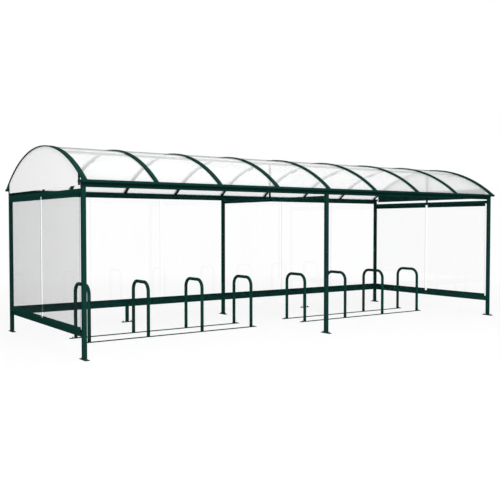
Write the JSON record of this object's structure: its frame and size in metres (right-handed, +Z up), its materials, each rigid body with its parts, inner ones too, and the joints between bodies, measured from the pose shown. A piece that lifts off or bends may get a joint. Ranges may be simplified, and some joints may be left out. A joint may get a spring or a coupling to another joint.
{
  "type": "bicycle shelter",
  "caption": "Open-fronted bicycle shelter: painted steel tube frame, barrel roof of clear sheet under bent arches, clear back and end walls, hooped floor racks.",
  "frame": {"origin": "on the ground at the middle of the plan", "axes": "+X along the shelter towards the right end seen from the open front, +Y from the open front to the back wall, +Z up"},
  "size_m": [7.608, 2.99, 2.638],
  "materials": {
    "painted_steel": "satin",
    "roof_sheet": "gloss",
    "wall_sheet": "gloss",
    "gable_panel": "satin"
  },
  "bodies": {
    "root": {"arch_1": "painted_steel", "arch_2": "painted_steel", "arch_3": "painted_steel", "arch_4": "painted_steel", "arch_5": "painted_steel", "arch_6": "painted_steel", "arch_7": "painted_steel", "arch_8": "painted_steel", "arch_9": "painted_steel", "arch_splice_plates": "painted_steel", "crown_purlin": "painted_steel", "crown_sheets": "roof_sheet", "end_bottom_channels_left": "painted_steel", "end_bottom_channels_right": "painted_steel", "end_rail_left": "painted_steel", "end_rail_right": "painted_steel", "end_sheets_left": "wall_sheet", "end_sheets_right": "wall_sheet", "end_top_channels_left": "painted_steel", "end_top_channels_right": "painted_steel", "front_beams": "painted_steel", "front_gutter": "painted_steel", "gable_chord_left": "painted_steel", "gable_chord_right": "painted_steel", "gable_panel_left": "gable_panel", "gable_panel_right": "gable_panel", "gable_trim_left": "painted_steel", "gable_trim_right": "painted_steel", "post_front_left": "painted_steel", "post_front_middle": "painted_steel", "post_front_right": "painted_steel", "post_rear_left": "painted_steel", "post_rear_middle": "painted_steel", "post_rear_right": "painted_steel", "rack_hoops_left": "painted_steel", "rack_hoops_right": "painted_steel", "rack_rails_left": "painted_steel", "rack_rails_right": "painted_steel", "rear_beams": "painted_steel", "rear_bottom_channels": "painted_steel", "rear_gutter": "painted_steel", "rear_leg_left": "painted_steel", "rear_leg_right": "painted_steel", "rear_rails": "painted_steel", "rear_sheets": "wall_sheet", "rear_top_beads": "painted_steel", "roof_clamp_strips": "painted_steel", "roof_sheets": "roof_sheet", "tie_left": "painted_steel", "tie_middle": "painted_steel", "tie_right": "painted_steel", "uprights": "painted_steel"}
  },
  "joints": []
}
